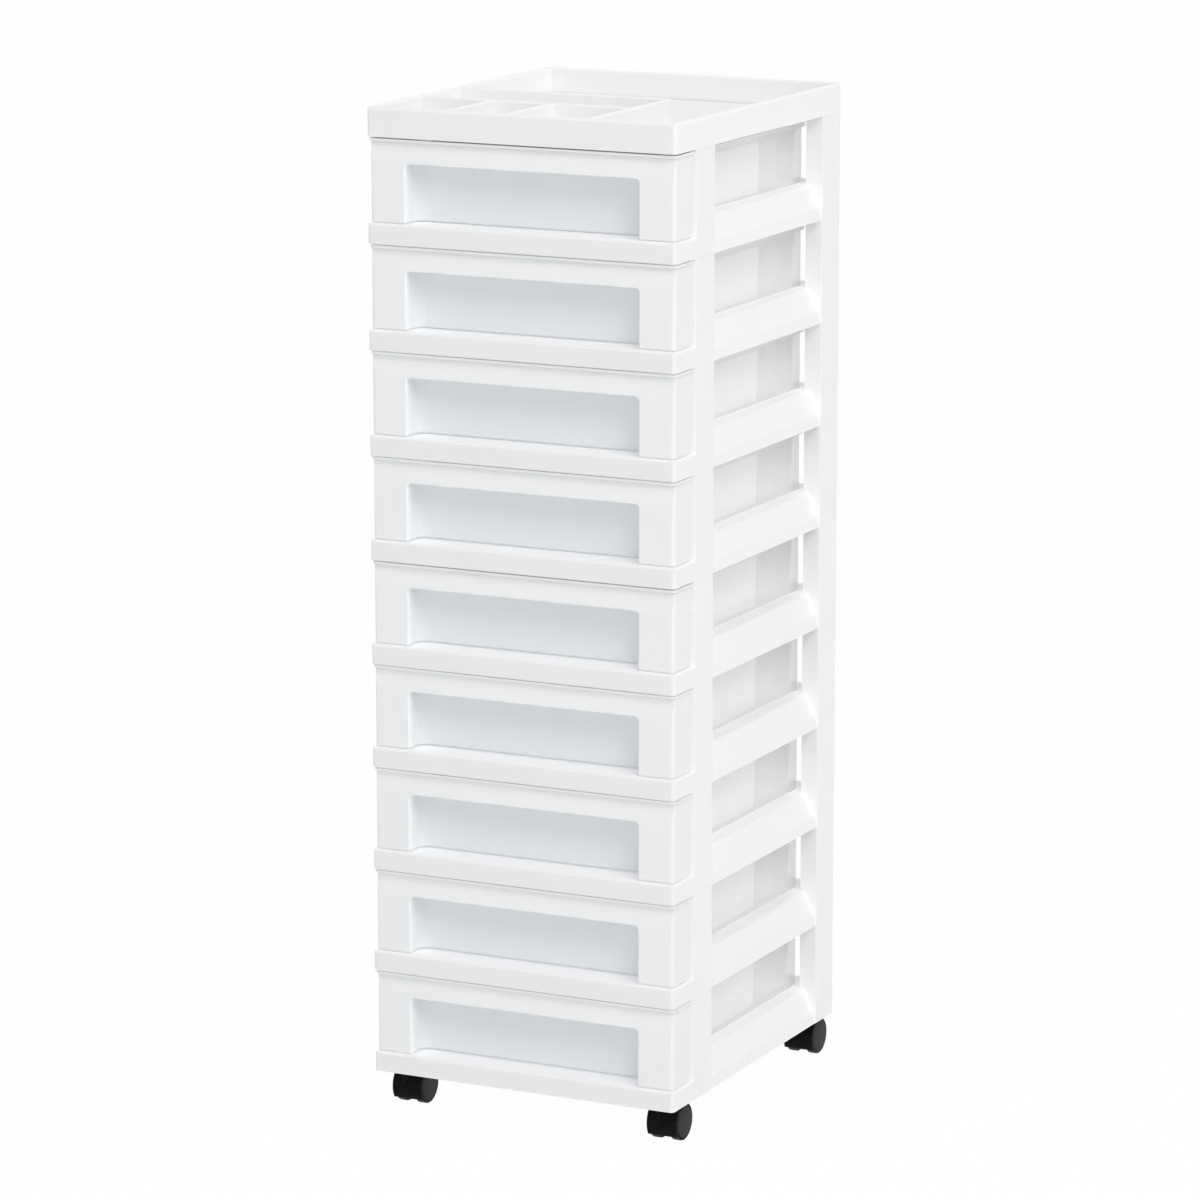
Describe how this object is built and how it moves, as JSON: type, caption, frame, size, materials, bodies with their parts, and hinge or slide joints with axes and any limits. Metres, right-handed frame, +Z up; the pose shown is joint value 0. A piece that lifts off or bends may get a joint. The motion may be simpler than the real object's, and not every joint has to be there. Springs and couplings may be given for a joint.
{
  "type": "plastic drawer tower",
  "caption": "Tall white plastic tower of shallow pull-out drawers in stacked frames, with a divided tray on top and black twin-wheel casters below.",
  "frame": {"origin": "middle of the tower's footprint on the floor, halfway between the front of the ledges and the back of the rear wheels", "axes": "+X to the right as seen from the front, +Y to the back, +Z up"},
  "size_m": [0.306, 0.365, 0.9344],
  "materials": {
    "frame_white": "white moulded polypropylene, satin",
    "drawer_translucent": "cloudy translucent moulded polypropylene, satin",
    "hood_black": "black moulded nylon",
    "wheel_black": "dark grey moulded nylon",
    "steel": "zinc-plated steel"
  },
  "bodies": {
    "tower": {"top_tray": "frame_white", "frame_1": "frame_white", "frame_2": "frame_white", "frame_3": "frame_white", "frame_4": "frame_white", "frame_5": "frame_white", "frame_6": "frame_white", "frame_7": "frame_white", "frame_8": "frame_white", "base_frame": "frame_white", "stem_front_left": "steel", "stem_front_right": "steel", "stem_rear_left": "steel", "stem_rear_right": "steel"},
    "drawer_1": {"drawer_1": "drawer_translucent"},
    "drawer_2": {"drawer_2": "drawer_translucent"},
    "drawer_3": {"drawer_3": "drawer_translucent"},
    "drawer_4": {"drawer_4": "drawer_translucent"},
    "drawer_5": {"drawer_5": "drawer_translucent"},
    "drawer_6": {"drawer_6": "drawer_translucent"},
    "drawer_7": {"drawer_7": "drawer_translucent"},
    "drawer_8": {"drawer_8": "drawer_translucent"},
    "drawer_9": {"drawer_9": "drawer_translucent"},
    "caster_front_left": {"hood_front_left": "hood_black", "axle_front_left": "steel"},
    "wheel_front_left_l": {"wheel_front_left_l": "wheel_black"},
    "wheel_front_left_r": {"wheel_front_left_r": "wheel_black"},
    "caster_front_right": {"hood_front_right": "hood_black", "axle_front_right": "steel"},
    "wheel_front_right_l": {"wheel_front_right_l": "wheel_black"},
    "wheel_front_right_r": {"wheel_front_right_r": "wheel_black"},
    "caster_rear_left": {"hood_rear_left": "hood_black", "axle_rear_left": "steel"},
    "wheel_rear_left_l": {"wheel_rear_left_l": "wheel_black"},
    "wheel_rear_left_r": {"wheel_rear_left_r": "wheel_black"},
    "caster_rear_right": {"hood_rear_right": "hood_black", "axle_rear_right": "steel"},
    "wheel_rear_right_l": {"wheel_rear_right_l": "wheel_black"},
    "wheel_rear_right_r": {"wheel_rear_right_r": "wheel_black"}
  },
  "joints": [
    {"name": "drawer_1_slide", "type": "slide", "parent": "tower", "child": "drawer_1", "axis": [0, -1, 0], "range_m": [0, 0.25]},
    {"name": "drawer_2_slide", "type": "slide", "parent": "tower", "child": "drawer_2", "axis": [0, -1, 0], "range_m": [0, 0.25]},
    {"name": "drawer_3_slide", "type": "slide", "parent": "tower", "child": "drawer_3", "axis": [0, -1, 0], "range_m": [0, 0.25]},
    {"name": "drawer_4_slide", "type": "slide", "parent": "tower", "child": "drawer_4", "axis": [0, -1, 0], "range_m": [0, 0.25]},
    {"name": "drawer_5_slide", "type": "slide", "parent": "tower", "child": "drawer_5", "axis": [0, -1, 0], "range_m": [0, 0.25]},
    {"name": "drawer_6_slide", "type": "slide", "parent": "tower", "child": "drawer_6", "axis": [0, -1, 0], "range_m": [0, 0.25]},
    {"name": "drawer_7_slide", "type": "slide", "parent": "tower", "child": "drawer_7", "axis": [0, -1, 0], "range_m": [0, 0.25]},
    {"name": "drawer_8_slide", "type": "slide", "parent": "tower", "child": "drawer_8", "axis": [0, -1, 0], "range_m": [0, 0.25]},
    {"name": "drawer_9_slide", "type": "slide", "parent": "tower", "child": "drawer_9", "axis": [0, -1, 0], "range_m": [0, 0.25]},
    {"name": "caster_front_left_swivel", "type": "hinge", "parent": "tower", "child": "caster_front_left", "pos_m": [-0.131, -0.1545, 0.03], "axis": [0, 0, 1], "continuous": true},
    {"name": "wheel_front_left_l_roll", "type": "hinge", "parent": "caster_front_left", "child": "wheel_front_left_l", "pos_m": [-0.131, -0.141, 0.0175], "axis": [1, 0, 0], "continuous": true},
    {"name": "wheel_front_left_r_roll", "type": "hinge", "parent": "caster_front_left", "child": "wheel_front_left_r", "pos_m": [-0.131, -0.141, 0.0175], "axis": [1, 0, 0], "continuous": true},
    {"name": "caster_front_right_swivel", "type": "hinge", "parent": "tower", "child": "caster_front_right", "pos_m": [0.131, -0.1545, 0.03], "axis": [0, 0, 1], "continuous": true},
    {"name": "wheel_front_right_l_roll", "type": "hinge", "parent": "caster_front_right", "child": "wheel_front_right_l", "pos_m": [0.131, -0.141, 0.0175], "axis": [1, 0, 0], "continuous": true},
    {"name": "wheel_front_right_r_roll", "type": "hinge", "parent": "caster_front_right", "child": "wheel_front_right_r", "pos_m": [0.131, -0.141, 0.0175], "axis": [1, 0, 0], "continuous": true},
    {"name": "caster_rear_left_swivel", "type": "hinge", "parent": "tower", "child": "caster_rear_left", "pos_m": [-0.131, 0.1515, 0.03], "axis": [0, 0, 1], "continuous": true},
    {"name": "wheel_rear_left_l_roll", "type": "hinge", "parent": "caster_rear_left", "child": "wheel_rear_left_l", "pos_m": [-0.131, 0.165, 0.0175], "axis": [1, 0, 0], "continuous": true},
    {"name": "wheel_rear_left_r_roll", "type": "hinge", "parent": "caster_rear_left", "child": "wheel_rear_left_r", "pos_m": [-0.131, 0.165, 0.0175], "axis": [1, 0, 0], "continuous": true},
    {"name": "caster_rear_right_swivel", "type": "hinge", "parent": "tower", "child": "caster_rear_right", "pos_m": [0.131, 0.1515, 0.03], "axis": [0, 0, 1], "continuous": true},
    {"name": "wheel_rear_right_l_roll", "type": "hinge", "parent": "caster_rear_right", "child": "wheel_rear_right_l", "pos_m": [0.131, 0.165, 0.0175], "axis": [1, 0, 0], "continuous": true},
    {"name": "wheel_rear_right_r_roll", "type": "hinge", "parent": "caster_rear_right", "child": "wheel_rear_right_r", "pos_m": [0.131, 0.165, 0.0175], "axis": [1, 0, 0], "continuous": true}
  ]
}
